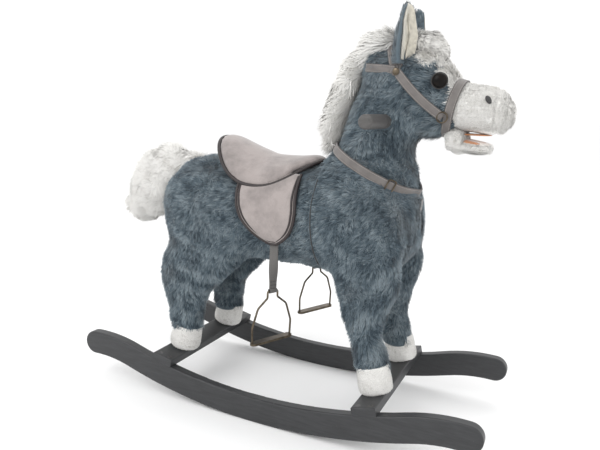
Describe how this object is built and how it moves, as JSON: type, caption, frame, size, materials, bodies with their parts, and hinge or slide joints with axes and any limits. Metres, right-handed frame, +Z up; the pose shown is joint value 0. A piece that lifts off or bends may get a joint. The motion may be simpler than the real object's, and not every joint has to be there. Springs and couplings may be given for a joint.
{
  "type": "rocking horse",
  "caption": "Plush rocking horse with a padded saddle, bridle, wooden handle and hanging stirrups on curved wooden rockers.",
  "frame": {"origin": "on the floor, midway between the rockers and midway along them", "axes": "+X towards the horse's nose, +Y towards its left side, +Z up"},
  "size_m": [0.74, 0.284, 0.6879],
  "materials": {
    "rocker_paint": "charcoal satin paint on wood, edges softened",
    "screw_steel": "darkened steel",
    "frame_wood": "bare sawn wood",
    "handle_paint": "grey satin paint on wood",
    "grey_plush": "short mottled blue-grey plush",
    "white_plush": "off-white plush",
    "white_fur": "long off-white fur",
    "lining_cloth": "cream velour",
    "mouth_cloth": "orange-brown felt",
    "eye_black": "polished black",
    "strap_suede": "grey suede cloth with stitched edges",
    "antique_brass": "antique brass, worn on the edges",
    "saddle_suede": "pinkish-grey suede cloth",
    "stirrup_webbing": "grey woven webbing",
    "stirrup_metal": "bronzed steel wire",
    "unit_plastic": "black moulded plastic",
    "pin_steel": "plain steel"
  },
  "bodies": {
    "horse": {"right_rocker": "rocker_paint", "left_rocker": "rocker_paint", "front_crossbar": "rocker_paint", "rear_crossbar": "rocker_paint", "crossbar_screws": "screw_steel", "leg_bolts": "screw_steel", "front_right_leg_post": "frame_wood", "front_left_leg_post": "frame_wood", "rear_right_leg_post": "frame_wood", "rear_left_leg_post": "frame_wood", "spine_board": "frame_wood", "neck_board": "frame_wood", "handlebar": "handle_paint", "sound_unit": "unit_plastic", "drive_motors": "unit_plastic", "tail_pin": "pin_steel", "jaw_pin": "pin_steel", "torso": "grey_plush", "neck": "grey_plush", "head": "grey_plush", "muzzle": "white_plush", "mouth_lining": "mouth_cloth", "front_right_hoof": "white_plush", "front_right_leg": "grey_plush", "front_left_hoof": "white_plush", "front_left_leg": "grey_plush", "rear_right_hoof": "white_plush", "rear_right_leg": "grey_plush", "rear_left_hoof": "white_plush", "rear_left_leg": "grey_plush", "ear_switch": "unit_plastic", "right_ear": "grey_plush", "left_ear": "grey_plush", "ear_linings": "lining_cloth", "eyes": "eye_black", "noseband": "strap_suede", "cheek_straps": "strap_suede", "crown_strap": "strap_suede", "browband": "strap_suede", "bridle_rosettes": "antique_brass", "bridle_rings": "antique_brass", "breast_strap": "strap_suede", "chest_tab": "strap_suede", "breast_slides": "antique_brass", "mane": "white_fur", "forelock": "white_fur", "saddle_seat": "saddle_suede", "left_saddle_flap": "saddle_suede", "right_saddle_flap": "saddle_suede"},
    "jaw": {"jaw": "white_plush", "jaw_lever": "unit_plastic"},
    "tail": {"tail": "white_fur", "tail_lever": "unit_plastic"},
    "ear_button": {"ear_button": "unit_plastic"},
    "right_stirrup_strap": {"right_stirrup_strap": "stirrup_webbing"},
    "right_stirrup": {"right_stirrup_iron": "stirrup_metal", "right_stirrup_tread": "stirrup_metal"},
    "left_stirrup_strap": {"left_stirrup_strap": "stirrup_webbing"},
    "left_stirrup": {"left_stirrup_iron": "stirrup_metal", "left_stirrup_tread": "stirrup_metal"}
  },
  "joints": [
    {"name": "jaw_hinge", "type": "hinge", "parent": "horse", "child": "jaw", "pos_m": [0.258, 0, 0.499], "axis": [0, 1, 0], "range_deg": [-7, 6]},
    {"name": "tail_wag", "type": "hinge", "parent": "horse", "child": "tail", "pos_m": [-0.19, 0, 0.388], "axis": [0, 0, 1], "range_deg": [-15, 15]},
    {"name": "ear_button_press", "type": "slide", "parent": "horse", "child": "ear_button", "axis": [0, 1, 0], "range_m": [0, 0.0013], "stiffness_N_per_m": 300},
    {"name": "right_strap_swing", "type": "hinge", "parent": "horse", "child": "right_stirrup_strap", "pos_m": [0.003, -0.0923, 0.294], "axis": [0, 1, 0], "range_deg": [-25, 25]},
    {"name": "right_stirrup_swing", "type": "hinge", "parent": "right_stirrup_strap", "child": "right_stirrup", "pos_m": [0.003, -0.0923, 0.219], "axis": [0.4067, 0.9135, 0], "range_deg": [-20, 20]},
    {"name": "left_strap_swing", "type": "hinge", "parent": "horse", "child": "left_stirrup_strap", "pos_m": [0.003, 0.0923, 0.294], "axis": [0, 1, 0], "range_deg": [-25, 25]},
    {"name": "left_stirrup_swing", "type": "hinge", "parent": "left_stirrup_strap", "child": "left_stirrup", "pos_m": [0.003, 0.0923, 0.219], "axis": [0.4067, 0.9135, 0], "range_deg": [-20, 20]}
  ]
}
